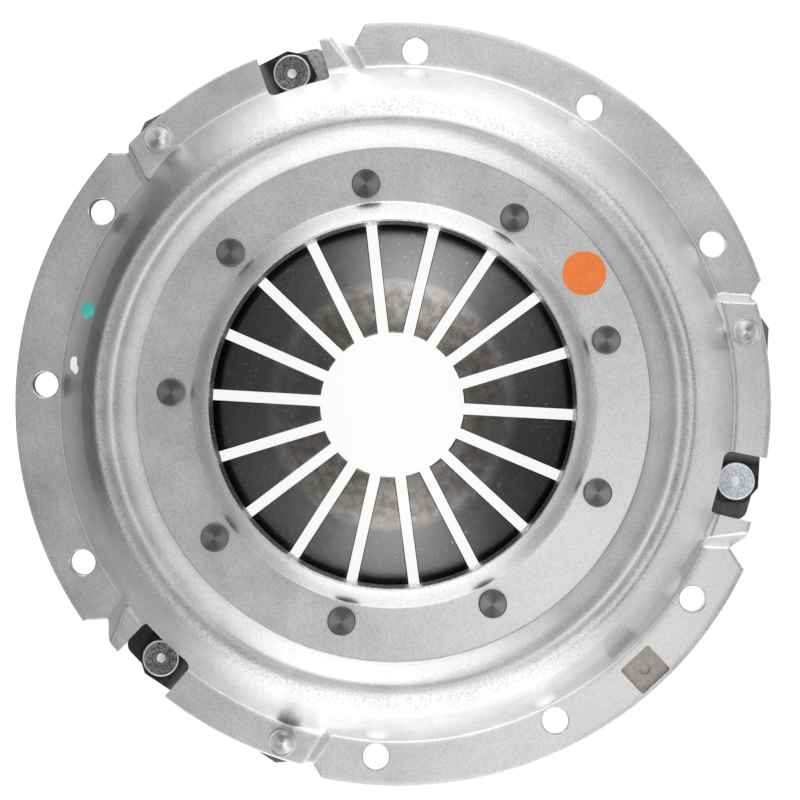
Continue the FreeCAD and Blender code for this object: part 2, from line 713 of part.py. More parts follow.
def make_plate():
    """The cast pressure plate with its spring ridge and three lugs."""
    body = new_body("pressure_plate")
    rim_top = f"({face_height} + {plate_rim_height})"
    back_edge = f"({plate_radius} - {plate_back_slope})"
    ridge_top = f"({spring_bottom(ridge_outer)} - {ridge_play})"
    sketch = new_sketch(body, "plate_section", "XZ_Plane")
    polygon(
        sketch,
        [
            (f"({plate_bore} + {face_chamfer})", face_height),
            (f"({plate_radius} - {face_chamfer})", face_height),
            (plate_radius, f"({face_height} + {face_chamfer})"),
            (plate_radius, rim_top),
            (back_edge, plate_back),
            (f"({ridge_outer} + {ridge_flank})", plate_back),
            (ridge_outer, ridge_top),
            (ridge_inner, ridge_top),
            (f"({ridge_inner} - {ridge_flank})", plate_back),
            (f"({plate_bore} + {face_chamfer})", plate_back),
            (plate_bore, f"({plate_back} - {face_chamfer})"),
            (plate_bore, f"({face_height} + {face_chamfer})"),
        ],
    )
    casting = revolution(body, "plate_ring", sketch)

    # The ridge is broken by gaps that let air through to the back of the plate
    sketch = new_sketch(body, "ridge_gap_outline", "XY_Plane", offset=plate_back)
    low = f"({ridge_inner} - 2 * {ridge_flank})"
    high = f"({ridge_outer} + 2 * {ridge_flank})"
    side = f"{ridge_gap_width} / 2"
    polygon(sketch, [(low, f"-{side}"), (high, f"-{side}"), (high, side), (low, side)])
    gap = pocket(body, "ridge_gap", sketch, f"({ridge_top} - {plate_back} + {ridge_flank})")
    polar_pattern(body, "ridge_gaps", [gap], RIDGE_BREAKS)

    # Lugs that carry the straps
    sketch = new_sketch(body, "lug_outline", "XY_Plane", offset=lug_bottom)
    root = f"({plate_radius} - {plate_back_slope})"
    ends = (f"({lug_angle} - {lug_half_angle})", f"({lug_angle} + {lug_half_angle})")
    ring_piece(
        sketch,
        root,
        lug_radius,
        [f"{root} * sin({end})" for end in ends],
        [f"{lug_radius} * sin({end})" for end in ends],
    )
    lug = pad(body, "lug", sketch, f"({lug_top} - {lug_bottom})")
    sketch = new_sketch(body, "lug_hole_outline", "XY_Plane")
    circle(sketch, strap_axis, lug_hole, f"({lug_rivet_shank} + {hole_play})")
    hole = pocket(body, "lug_hole", sketch)
    lugs = polar_pattern(body, "three_lugs", [lug, hole], SECTORS)
    document.recompute()
    places = []
    for number in range(SECTORS):
        for end in ends:
            turn = math.radians(value(end) + 360 * number / SECTORS)
            radius = value(lug_radius)
            places.append(Vector(radius * math.cos(turn), radius * math.sin(turn), 0))
    edges = upright_edges(lugs.Shape, places)
    fillet(body, "lug_corners", lugs, edges, lug_corner)
    return body


def make_strap_leaf(sector, leaf):
    """One leaf of a strap pack: flat where it is riveted, and sloping down to the lug."""
    turn = f"({sector} * 360 deg / {SECTORS})"
    body = new_body(f"strap_{sector + 1}_leaf_{leaf + 1}", turn)
    high = f"({pad_rise} - {LEAVES - leaf} * {leaf_thickness})"
    low = f"({high} - {strap_drop})"
    bottom = [
        (f"({lug_hole} - {strap_end})", low),
        (f"({lug_hole} + {strap_clamp})", low),
        (f"({cover_hole} - {strap_clamp})", high),
        (f"({cover_hole} + {strap_end})", high),
    ]
    top = [(y, f"({z} + {leaf_thickness})") for y, z in reversed(bottom)]
    sketch = new_sketch(body, "leaf_section", "YZ_Plane", offset=strap_axis)
    polygon(sketch, bottom + top)
    pad(body, "leaf", sketch, f"(2 * {strap_half_width})", midplane=True)
    sketch = new_sketch(body, "leaf_cut_outlines", "XY_Plane")
    circle(sketch, strap_axis, cover_hole, f"({strap_rivet_shank} + {hole_play})")
    circle(sketch, strap_axis, lug_hole, f"({lug_rivet_shank} + {hole_play})")
    for hole, sense in ((cover_hole, "+"), (lug_hole, "-")):
        shoulder = f"({hole} {sense} {strap_shoulder})"
        end = f"({hole} {sense} {strap_end})"
        for side in ("+", "-"):
            edge = f"({strap_axis} {side} {strap_half_width})"
            tip = f"({strap_axis} {side} {strap_end_half_width})"
            polygon(sketch, [(edge, shoulder), (tip, end), (edge, end)])
    pocket(body, "leaf_cuts", sketch)
    return body


def make_strap_rivet(sector):
    """A domed rivet that holds a strap pack under its raised sector."""
    turn = f"({sector} * 360 deg / {SECTORS} + atan({cover_hole} / {strap_axis}))"
    radius = f"sqrt({strap_axis}^2 + {cover_hole}^2)"
    body = new_body(f"strap_rivet_{sector + 1}", turn, radius)
    foot_top = f"({pad_rise} - {pack_thickness})"
    rim_top = f"({pad_top} + {strap_rivet_rim})"
    half_head = f"({strap_rivet_head} / 2)"
    dome_radius = f"(({half_head}^2 + {strap_rivet_dome}^2) / (2 * {strap_rivet_dome}))"
    sketch = new_sketch(body, "rivet_section", "XZ_Plane")
    polygon(
        sketch,
        [
            ("0", f"({foot_top} - {strap_rivet_foot_height})"),
            (half_head, f"({foot_top} - {strap_rivet_foot_height})"),
            (half_head, foot_top),
            (f"{strap_rivet_shank} / 2", foot_top),
            (f"{strap_rivet_shank} / 2", pad_top),
            (half_head, pad_top),
            (half_head, rim_top),
            ("0", rim_top),
        ],
    )
    revolution(body, "rivet", sketch)
    sketch = new_sketch(body, "dome_section", "XZ_Plane")
    dome_outline(sketch, half_head, rim_top, strap_rivet_dome, dome_radius)
    revolution(body, "dome", sketch)
    return body


def dome_outline(sketch, half_width, base, rise, radius):
    """Draw half the section of a domed head above a flat base."""
    edge = Vector(value(half_width), value(base), 0)
    foot = Vector(0, value(base), 0)
    crown = Vector(0, value(base) + value(rise), 0)
    centre = Vector(0, crown.y - value(radius), 0)
    start = math.atan2(edge.y - centre.y, edge.x)
    curve = Part.ArcOfCircle(
        Part.Circle(centre, Vector(0, 0, 1), value(radius)), start, math.pi / 2
    )
    arc = sketch.addGeometry(curve)
    axis_line = sketch.addGeometry(Part.LineSegment(crown, foot))
    base_line = sketch.addGeometry(Part.LineSegment(foot, edge))
    sketch.addConstraint(Sketcher.Constraint("Coincident", arc, 2, axis_line, 1))
    sketch.addConstraint(Sketcher.Constraint("Coincident", axis_line, 2, base_line, 1))
    sketch.addConstraint(Sketcher.Constraint("Coincident", base_line, 2, arc, 1))
    sketch.addConstraint(Sketcher.Constraint("PointOnObject", arc, 3, -2))
    bind_point(sketch, base_line, 1, "0", base)
    bind_point(sketch, base_line, 2, half_width, base)
    bind_point(sketch, axis_line, 1, "0", f"({base} + {rise})")


def make_lug_rivet(sector):
    """A flat headed rivet with a dimple that holds a strap pack on a lug of the plate."""
    turn = f"({sector} * 360 deg / {SECTORS} + {lug_angle})"
    body = new_body(f"lug_rivet_{sector + 1}", turn, lug_hole_radius)
    seat = f"({lug_top} + {pack_thickness})"
    head_top = f"({seat} + {lug_rivet_head_height})"
    half_head = f"({lug_rivet_head} / 2)"
    half_shank = f"({lug_rivet_shank} / 2)"
    sketch = new_sketch(body, "rivet_section", "XZ_Plane")
    polygon(
        sketch,
        [
            ("0", lug_bottom),
            (half_shank, lug_bottom),
            (half_shank, seat),
            (half_head, seat),
            (half_head, f"({head_top} - {lug_rivet_chamfer})"),
            (f"({half_head} - {lug_rivet_chamfer})", head_top),
            (f"{lug_rivet_dimple} / 2", head_top),
            ("0", f"({head_top} - {lug_rivet_dimple_depth})"),
        ],
    )
    revolution(body, "rivet", sketch)
    return body


def check(pieces):
    """Stop if any object failed or any sub-part is not a good solid."""
    for item in document.Objects:
        faults = [state for state in item.State if state in ("Invalid", "Error")]
        if faults:
            raise RuntimeError(f"{item.Name} is {faults}")
    for piece in pieces:
        shape = piece.Shape
        if shape.isNull() or not shape.isValid() or len(shape.Solids) != 1:
            raise RuntimeError(f"{piece.Label} is not one valid solid")


parts = [make_cover(), make_balance_insert(), make_mark(), make_spring()]
parts.append(make_ring("pivot_ring_upper", upper_ring_height))
parts.append(make_ring("pivot_ring_lower", lower_ring_height))
parts += [make_spring_rivet(number) for number in range(RIVETS)]
parts.append(make_plate())
for sector in range(SECTORS):
    parts += [make_strap_leaf(sector, leaf) for leaf in range(LEAVES)]
    parts.append(make_strap_rivet(sector))
    parts.append(make_lug_rivet(sector))
document.recompute()
check(parts)
os.makedirs("parts", exist_ok=True)
for piece in parts:
    piece.Shape.exportStep(f"parts/{piece.Label}.step")
    print(piece.Label, round(piece.Shape.Volume, 1))
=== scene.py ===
import math
import bmesh
import bpy
from mathutils import Matrix, Vector


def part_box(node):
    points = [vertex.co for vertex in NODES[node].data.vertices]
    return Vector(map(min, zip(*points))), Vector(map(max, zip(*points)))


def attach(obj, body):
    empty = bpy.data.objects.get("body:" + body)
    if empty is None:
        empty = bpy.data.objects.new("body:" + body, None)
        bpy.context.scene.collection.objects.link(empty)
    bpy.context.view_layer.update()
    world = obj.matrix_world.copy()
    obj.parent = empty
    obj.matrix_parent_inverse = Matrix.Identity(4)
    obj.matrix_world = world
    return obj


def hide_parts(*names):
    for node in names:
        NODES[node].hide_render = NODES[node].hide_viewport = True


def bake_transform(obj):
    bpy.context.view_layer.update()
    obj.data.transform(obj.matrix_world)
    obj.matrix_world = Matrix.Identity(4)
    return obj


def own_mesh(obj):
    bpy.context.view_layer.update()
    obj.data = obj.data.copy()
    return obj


# Looks of a clutch cover assembly, seen from straight above its cover.
# The photograph's own angle is the part's angle plus CAMERA_ROLL.

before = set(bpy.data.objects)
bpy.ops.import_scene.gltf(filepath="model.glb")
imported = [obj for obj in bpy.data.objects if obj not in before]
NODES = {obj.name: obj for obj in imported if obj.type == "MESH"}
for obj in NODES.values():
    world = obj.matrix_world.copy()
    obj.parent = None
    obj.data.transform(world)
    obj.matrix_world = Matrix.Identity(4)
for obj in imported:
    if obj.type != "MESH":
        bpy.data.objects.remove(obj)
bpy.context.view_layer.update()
MM = 0.001
COVER_BODY = "cover_body"
PLATE_BODY = "plate_body"
CAMERA_ROLL = math.radians(116.8)


def on_photo(x, y):
    """A direction or offset in the photograph's plane, as X and Y of the part."""
    turn = -CAMERA_ROLL
    return Vector((
        x * math.cos(turn) - y * math.sin(turn),
        x * math.sin(turn) + y * math.cos(turn),
        0,
    ))


class Shader:
    """A material or world whose nodes are added one by one."""

    def __init__(self, owner):
        owner.use_nodes = True
        self.tree = owner.node_tree
        self.tree.nodes.clear()

    def node(self, kind, inputs=None, **settings):
        made = self.tree.nodes.new(kind)
        for name, setting in settings.items():
            setattr(made, name, setting)
        for name, given in (inputs or {}).items():
            self.feed(made.inputs[name], given)
        return made

    def feed(self, socket, given):
        """Link an output to a socket, or set the socket to a plain value."""
        if isinstance(given, bpy.types.NodeSocket):
            self.tree.links.new(given, socket)
        else:
            socket.default_value = given

    def math(self, operation, *given):
        inputs = dict(enumerate(given))
        return self.node("ShaderNodeMath", inputs, operation=operation).outputs[0]

    def ramp(self, factor, stops):
        """A colour for each value of a factor, from pairs of position and colour or grey."""
        made = self.node("ShaderNodeValToRGB", {"Fac": factor})
        elements = made.color_ramp.elements
        while len(elements) < len(stops):
            elements.new(0.5)
        for element, (position, colour) in zip(elements, sorted(stops, key=lambda stop: stop[0])):
            element.position = position
            element.color = shade(colour)
        return made.outputs["Color"]

    def ramp_over(self, length, reach, stops):
        """A ramp over a length up to a reach, from pairs of millimetres and colour or grey."""
        factor = self.math("DIVIDE", length, reach * MM)
        return self.ramp(factor, [(place / reach, colour) for place, colour in stops])

    def mix(self, factor, first, second):
        made = self.node("ShaderNodeMix", data_type="RGBA")
        self.feed(made.inputs[0], factor)
        for socket, colour in ((made.inputs[6], first), (made.inputs[7], second)):
            self.feed(socket, colour if isinstance(colour, bpy.types.NodeSocket) else shade(colour))
        return made.outputs[2]

    def noise(self, coordinates, scale, detail=3, roughness=0.55):
        made = self.node("ShaderNodeTexNoise", {
            "Vector": coordinates, "Scale": scale, "Detail": detail, "Roughness": roughness,
        })
        return made.outputs["Fac"]

    def place(self):
        """The point on the part at rest, in its own frame."""
        return self.node("ShaderNodeTexCoord").outputs["Object"]

    def split(self, vector):
        return self.node("ShaderNodeSeparateXYZ", {"Vector": vector}).outputs

    def stretched(self, vector, scales, turn):
        made = self.node("ShaderNodeMapping", {"Vector": vector})
        made.inputs["Scale"].default_value = scales
        made.inputs["Rotation"].default_value = (0, 0, turn)
        return made.outputs["Vector"]

    def radius(self, vector):
        """Distance from the clutch axis."""
        x, y, _ = self.split(vector)
        return self.math("SQRT", self.math("ADD", self.math("MULTIPLY", x, x),
                                           self.math("MULTIPLY", y, y)))

    def around(self, vector):
        """Share of a turn about the clutch axis, counted in the photograph from its right."""
        x, y, _ = self.split(vector)
        turned = self.math("ADD", self.math("ARCTAN2", y, x), CAMERA_ROLL)
        return self.math("FRACT", self.math("DIVIDE", turned, 2 * math.pi))

    def bump(self, height, strength, distance):
        return self.node("ShaderNodeBump", {
            "Height": height, "Strength": strength, "Distance": distance,
        }).outputs["Normal"]

    def surface(self, **inputs):
        """The principled surface of a material, with inputs named by their sockets."""
        given = {name.replace("_", " "): setting for name, setting in inputs.items()}
        made = self.node("ShaderNodeBsdfPrincipled", given)
        self.finish(made)

    def finish(self, last, kind="ShaderNodeOutputMaterial"):
        """Lead the last node to the output of the material or world."""
        self.tree.links.new(last.outputs[0], self.node(kind).inputs["Surface"])


def shade(colour):
    """A grey or an RGB as a full colour."""
    if isinstance(colour, (int, float)):
        return (colour, colour, colour, 1)
    return (*colour[:3], 1)


def new_material(name):
    material = bpy.data.materials.new(name)
    return material, Shader(material)


# The studio that the bare metal mirrors: soft-edged cards over a plain grey
STUDIO_GREY = 0.47
CARD_SOFTNESS = 26
ELEVATION_SOFTNESS = 8
# Cards: middle and half width about the axis, lowest and highest elevation in degrees, and tone
CARDS = {
    "grey_right": (0, 56, -90, 3, 0.86),
    "dim_right": (350, 56, 3, 17, 0.16),
    "pale_right": (0, 56, 17, 38, 0.95),
    "black_left": (168, 34, -90, 14, 0.12),
    "pale_left": (180, 46, 14, 34, 0.64),
    "dark_ring": (0, 360, 54, 76, 0.3),
    "mid_right": (8, 16, 52, 78, 0.42),
    "mid_left": (162, 10, 52, 78, 0.45),
    "window_top": (88, 34, -90, 44, 1.45),
    "window_top_high": (83, 22, 44, 72, 1.9),
    "window_bottom": (271, 36, -90, 44, 1.45),
    "window_bottom_high": (272, 22, 44, 72, 1.5),
    "sky_right": (312, 30, 76, 90, 2.5),
}


def rise(shader, given, middle, soft):
    """Nought below a value and one above it, with a soft step."""
    return shader.node("ShaderNodeMapRange", {
        "Value": given, "From Min": middle - soft / 2, "From Max": middle + soft / 2,
    }, interpolation_type="SMOOTHSTEP").outputs[0]


def studio_tone(shader, direction, elevation):
    """Brightness of the studio in a direction, card by card."""
    around = shader.math("MULTIPLY", shader.around(direction), 360)
    tone = shade(STUDIO_GREY)
    for middle, half, low, high, brightness in CARDS.values():
        away = shader.math("SUBTRACT", around, middle)
        turns = shader.math("ROUND", shader.math("DIVIDE", away, 360))
        away = shader.math("SUBTRACT", away, shader.math("MULTIPLY", turns, 360))
        beside = rise(shader, shader.math("ABSOLUTE", away), half, CARD_SOFTNESS)
        over = rise(shader, elevation, high, ELEVATION_SOFTNESS)
        inside = shader.math("SUBTRACT", rise(shader, elevation, low, ELEVATION_SOFTNESS), over)
        inside = shader.math("MULTIPLY", inside, shader.math("SUBTRACT", 1.0, beside))
        tone = shader.mix(inside, tone, brightness)
    return tone


# White studio: its even light, and how much of the floor can be shaded or glows by itself
AMBIENT = 0.8
DOME_RADIUS = 3
FLOOR_RADIUS = 2.4
FLOOR_DROP = 0.02 * MM
FLOOR_SHADOW = 0.15
FLOOR_GLOW = 0.91


def make_world():
    """A white background, and plain even light from all round."""
    world = bpy.data.worlds.new("studio")
    bpy.context.scene.world = world
    shader = Shader(world)
    rays = shader.node("ShaderNodeLightPath").outputs
    shown = shader.math("MAXIMUM", rays["Is Camera Ray"],
                        shader.math("MAXIMUM", rays["Is Glossy Ray"], rays["Is Transmission Ray"]))
    strength = shader.math("MULTIPLY_ADD", shown, 1 - AMBIENT, AMBIENT)
    background = shader.node("ShaderNodeBackground", {"Color": shade(1.0), "Strength": strength})
    shader.finish(background, "ShaderNodeOutputWorld")


def make_dome():
    """The cards that the bare metal mirrors, as one dome round the part."""
    bpy.ops.mesh.primitive_uv_sphere_add(segments=48, ring_count=24, radius=DOME_RADIUS)
    dome = bpy.context.object
    dome.name = "studio_dome"
    material, shader = new_material("studio_dome")
    point = shader.node("ShaderNodeNewGeometry").outputs["Position"]
    direction = shader.node("ShaderNodeVectorMath", {0: point}, operation="NORMALIZE").outputs[0]
    elevation = shader.math("DEGREES", shader.math("ARCSINE", shader.split(direction)[2]))
    tone = studio_tone(shader, direction, elevation)
    shader.finish(shader.node("ShaderNodeEmission", {"Color": tone, "Strength": 1.0}))
    dome.data.materials.append(material)
    dome.visible_camera = False
    dome.visible_diffuse = False
    dome.visible_transmission = False
    dome.visible_shadow = False


def make_floor():
    """A pale floor: white to the camera apart from the part's shadow, toned for the metal."""
    bpy.ops.mesh.primitive_circle_add(vertices=96, radius=FLOOR_RADIUS, fill_type="NGON")
    floor = bpy.context.object
    floor.name = "floor"
    floor.location.z = -FLOOR_DROP
    material, shader = new_material("floor")
    rays = shader.node("ShaderNodeLightPath").outputs
    point = shader.node("ShaderNodeNewGeometry").outputs["Position"]
    tone = studio_tone(shader, point, 0.0)
    mirrored = shader.node("ShaderNodeEmission", {"Color": tone, "Strength": 1.0})
    plain = shader.node("ShaderNodeBsdfDiffuse", {"Color": shade(FLOOR_SHADOW)})
    lift = shader.node("ShaderNodeEmission", {"Color": shade(1.0), "Strength": FLOOR_GLOW})
    shown = shader.node("ShaderNodeAddShader", {0: plain.outputs[0], 1: lift.outputs[0]})
    shader.finish(shader.node("ShaderNodeMixShader", {
        0: rays["Is Glossy Ray"], 1: shown.outputs[0], 2: mirrored.outputs[0],
    }))
    floor.data.materials.append(material)


# Soft lamps: name, direction in the photograph's plane and power
LAMPS = [("key", (-0.3, 1), 9), ("fill", (0.2, -1), 6)]
LAMP_RISE = 0.9
LAMP_DISTANCE = 1.6
LAMP_SIZE = 0.9


def make_lamp(name, side, power):
    data = bpy.data.lights.new(name, "AREA")
    data.shape = "DISK"
    data.size = LAMP_SIZE
    data.energy = power
    lamp = bpy.data.objects.new(name, data)
    bpy.context.scene.collection.objects.link(lamp)
    direction = (on_photo(*side) + Vector((0, 0, LAMP_RISE))).normalized()
    lamp.location = direction * LAMP_DISTANCE
    lamp.rotation_mode = "QUATERNION"
    lamp.rotation_quaternion = direction.to_track_quat("Z", "Y")
    lamp.visible_glossy = False


# The camera, from the sizes of the rings that lie at different heights
IMAGE_SIZE = 800
FOCAL_PIXELS = 1739
SENSOR = 36
CAMERA_DISTANCE = 600 * MM
CAMERA_RIGHT = 22.6 * MM
CAMERA_UP = 3.5 * MM
AIM_RIGHT = 1.54 * MM
AIM_UP = 1.47 * MM


def make_camera():
    data = bpy.data.cameras.new("camera")
    data.lens = FOCAL_PIXELS * SENSOR / IMAGE_SIZE
    data.sensor_width = SENSOR
    data.clip_start = 0.01
    data.clip_end = 20
    camera = bpy.data.objects.new("camera", data)
    bpy.context.scene.collection.objects.link(camera)
    flange_top = Vector((0, 0, SHEET * MM))
    place = on_photo(CAMERA_RIGHT, CAMERA_UP) + flange_top + Vector((0, 0, CAMERA_DISTANCE))
    aim = on_photo(AIM_RIGHT, AIM_UP) + flange_top
    back = (place - aim).normalized()
    right = on_photo(0, 1).cross(back).normalized()
    up = back.cross(right)
    turned = Matrix((right, up, back)).transposed().to_4x4()
    camera.matrix_world = Matrix.Translation(place) @ turned
    bpy.context.scene.camera = camera


# Smears of paint on the cover: middle in the photograph's plane, half sizes, turn and colour
PAINT_SMEARS = [
    ((-103.9, 32.6), (3.3, 1.9), 10, (0.02, 0.42, 0.35)),
    ((-103.0, 30.6), (2.7, 1.5), -14, (0.03, 0.5, 0.42)),
    ((-109.0, 13.9), (1.8, 2.4), 0, (0.88, 0.88, 0.86)),
    ((-107.8, 11.9), (1.5, 1.4), 30, (0.82, 0.82, 0.8)),
]


def smear(shader, point, wobble, middle, sizes, degrees):
    """One inside a rounded patch with a ragged edge, and nought outside it."""
    centre = on_photo(*middle) * MM
    local = shader.node("ShaderNodeVectorMath", {0: point, 1: centre}, operation="SUBTRACT")
    straight = shader.node("ShaderNodeVectorRotate", {
        "Vector": local.outputs[0], "Angle": CAMERA_ROLL + math.radians(degrees),
    }, rotation_type="Z_AXIS").outputs[0]
    x, y, _ = shader.split(straight)
    shares = [
        shader.math("POWER", shader.math("ABSOLUTE", shader.math("DIVIDE", side, half * MM)), 3.0)
        for side, half in zip((x, y), sizes)
    ]
    distance = shader.math("ADD", shader.math("ADD", *shares), wobble)
    return shader.math("LESS_THAN", distance, 1.0)


# Lengths in millimetres up to which the ramps of the materials count
COVER_REACH = 130
SPRING_REACH = 100
RIVET_REACH = 10
STRAP_REACH = 40


def steel_cover():
    """Pressed steel sheet: satin, with specks on the crest, a torn lip, a ring of painted shade in
    the seat's outer bend broken up in patches, and smears.
    """
    material, shader = new_material("cover_steel")
    point = shader.place()
    grain = shader.noise(point, 1500, 2, 0.7)
    streaks = shader.noise(shader.stretched(point, (1, 7, 1), math.radians(20)), 500, 3)
    cloud = shader.noise(point, 60, 5, 0.65)
    radius = shader.radius(point)
    crest = shader.ramp_over(radius, COVER_REACH, [
        (92.95, 0.0), (96.2, 1.0), (99.06, 1.0), (104.0, 0.25), (111.8, 0.0),
    ])
    speck = shader.noise(point, 1100, 4, 0.8)
    specks = shader.math("MULTIPLY", shader.ramp(speck, [(0.5, 0.0), (0.62, 1.0)]), crest)
    tone = shader.ramp(cloud, [(0.3, (0.72, 0.72, 0.73)), (0.7, (0.88, 0.88, 0.885))])
    tone = shader.mix(shader.ramp(grain, [(0.34, 0.34), (0.6, 0.0)]), tone, (0.36, 0.36, 0.37))
    tone = shader.mix(shader.math("MULTIPLY", specks, 0.5), tone, (0.25, 0.25, 0.26))
    scuff = shader.ramp(streaks, [(0.56, 0.0), (0.7, 0.3)])
    tone = shader.mix(scuff, tone, (0.95, 0.95, 0.95))
    torn = shader.ramp(shader.noise(point, 1100, 3, 0.7), [(0.42, 0.7), (0.58, 0.0)])
    edge = shader.ramp_over(radius, COVER_REACH, [(60.19, 1.0), (60.84, 0.0)])
    tone = shader.mix(shader.math("MULTIPLY", torn, edge), tone, (0.22, 0.22, 0.22))
    # Painted shade: two dark lines in the concave bend at the seat's outer edge, broken up in
    # patches by noise
    seat_bend_shade = shader.ramp_over(radius, COVER_REACH, [
        (84.565, 0.0), (84.825, 0.55), (85.15, 0.1), (85.8, 0.1), (85.995, 0.35), (86.32, 0.0),
    ])
    seat_bend_breakup = shader.ramp(shader.noise(point, 45, 3), [(0.35, 0.35), (0.6, 1.0)])
    tone = shader.mix(shader.math("MULTIPLY", seat_bend_shade, seat_bend_breakup), tone, (0.2, 0.2, 0.21))
    roughness = shader.math("MULTIPLY_ADD", cloud, 0.18, 0.17)
    roughness = shader.math("ADD", roughness, shader.math("MULTIPLY", grain, 0.1))
    normal = shader.bump(shader.math("ADD", grain, cloud), 0.16, 0.05 * MM)
    wobble = shader.math("SUBTRACT", shader.noise(point, 900, 3, 0.6), 0.5)
    painted = shade(0.0)
    for middle, sizes, degrees, colour in PAINT_SMEARS:
        inside = smear(shader, point, wobble, middle, sizes, degrees)
        tone = shader.mix(inside, tone, colour)
        painted = shader.mix(inside, painted, 1.0)
    metallic = shader.math("SUBTRACT", 1.0, shader.math("MULTIPLY", painted, 0.95))
    roughness = shader.math("MAXIMUM", roughness, shader.math("MULTIPLY", painted, 0.55))
    shader.surface(Base_Color=tone, Metallic=metallic, Roughness=roughness, Normal=normal)
    return material


def plain_steel(name, colour, roughness):
    """Bare or plated metal with a light mottle."""
    material, shader = new_material(name)
    point = shader.place()
    mottle = shader.noise(point, 600, 4)
    low = [channel * 0.8 for channel in colour]
    high = [min(1.0, channel * 1.15) for channel in colour]
    tone = shader.ramp(mottle, [(0.3, low), (0.7, high)])
    rough = shader.math("MULTIPLY_ADD", mottle, 0.16, roughness - 0.08)
    normal = shader.bump(mottle, 0.2, 0.1 * MM)
    shader.surface(Base_Color=tone, Metallic=1.0, Roughness=rough, Normal=normal)
    return material


# The photograph's angle where painted shade on the fingers is deepest, as it is across from it, and
# how deep
SHADE_ANGLE = math.radians(165)
SHADE_MIDDLE = 0.37
SHADE_SWING = 0.32
# How far the bands on the fingers wander in and out
BAND_WANDER = 1.2 * MM


def spring_steel():
    """Blackened fingers, polished in a band by the bearing and worn brown inside it, with a painted
    highlight on that band at the knee, painted shadow under the cover's lip and painted shade on
    two opposite sides.
    """
    material, shader = new_material("spring_steel")
    point = shader.place()
    wander = shader.math("MULTIPLY_ADD", shader.noise(point, 90, 3), 2 * BAND_WANDER, -BAND_WANDER)
    radius = shader.math("ADD", shader.radius(point), wander)
    fine = shader.noise(point, 900, 3, 0.7)
    mottle = shader.noise(point, 260, 5, 0.65)
    # Partly painted light: a painted highlight at the knee about 38 mm out, and painted shadow
    # under the cover's lip from 56.5 mm outward
    bands = shader.ramp_over(radius, SPRING_REACH, [
        (23.6, (0.34, 0.315, 0.29)), (33.0, (0.44, 0.41, 0.38)), (36.5, (0.45, 0.425, 0.4)),
        (38.0, (0.55, 0.525, 0.505)), (39.3, (0.5, 0.485, 0.475)), (42.0, (0.27, 0.265, 0.265)),
        (50.0, (0.22, 0.22, 0.225)), (56.5, (0.18, 0.18, 0.185)), (59.0, (0.08, 0.08, 0.08)),
        (62.0, (0.03, 0.03, 0.03)),
    ])
    worn = shader.ramp_over(radius, SPRING_REACH, [(36.0, 1.0), (43.0, 0.2)])
    dark = shader.math("MULTIPLY", shader.ramp(mottle, [(0.4, 0.55), (0.58, 0.0)]), worn)
    # Painted shade: darker on two opposite sides of the axis and paler a quarter turn from them
    turn = shader.math("MULTIPLY_ADD", shader.around(point), 4 * math.pi, -2 * SHADE_ANGLE)
    side_shade = shader.math("MULTIPLY_ADD", shader.math("COSINE", turn), SHADE_SWING, SHADE_MIDDLE)
    bands = shader.mix(side_shade, bands, (0.02, 0.02, 0.02))
    colour = shader.mix(dark, bands, (0.1, 0.095, 0.09))
    dust = shader.ramp(fine, [(0.62, 0.0), (0.7, 0.5)])
    colour = shader.mix(dust, colour, (0.5, 0.5, 0.5))
    roughness = shader.math("MULTIPLY_ADD", mottle, 0.16, 0.18)
    normal = shader.bump(mottle, 0.12, 0.06 * MM)
    shader.surface(Base_Color=colour, Metallic=1.0, Roughness=roughness, Normal=normal)
    return material


# How far the painted highlights at the sides of a turned head stand clockwise from level
HIGHLIGHT_TURN = math.radians(12)


def turned_steel(name, dark, pale, roughness):
    """Turned metal with a painted bow-tie highlight: paler to both sides of each head's middle,
    with softened rims.
    """
    material, shader = new_material(name)
    point = shader.place()
    smudge = shader.noise(point, 420, 4, 0.6)
    fine = shader.noise(point, 1500, 2, 0.6)
    tangent = shader.node("ShaderNodeTangent", direction_type="RADIAL", axis="Z").outputs[0]
    upward = on_photo(math.sin(HIGHLIGHT_TURN), math.cos(HIGHLIGHT_TURN))
    along = shader.node("ShaderNodeVectorMath", {
        0: tangent, 1: upward,
    }, operation="DOT_PRODUCT").outputs["Value"]
    # Painted reflection: the bow-tie highlight of the turned grooves, set in the colour by the
    # direction around each head
    bow_highlight = shader.math("ADD", shader.math("MULTIPLY", along, along),
                      shader.math("MULTIPLY_ADD", smudge, 0.9, -0.45))
    tone = shader.ramp(bow_highlight, [(0.1, dark), (0.9, pale)])
    rounded = shader.node("ShaderNodeBevel", {"Radius": 0.4 * MM}, samples=6).outputs[0]
    normal = shader.node("ShaderNodeBump", {
        "Height": fine, "Strength": 0.12, "Distance": 0.05 * MM, "Normal": rounded,
    }).outputs[0]
    rough = shader.math("MULTIPLY_ADD", smudge, 0.2, roughness - 0.1)
    shader.surface(Base_Color=tone, Metallic=1.0, Roughness=rough, Normal=normal,
                   Anisotropic=0.4, Tangent=tangent)
    return material


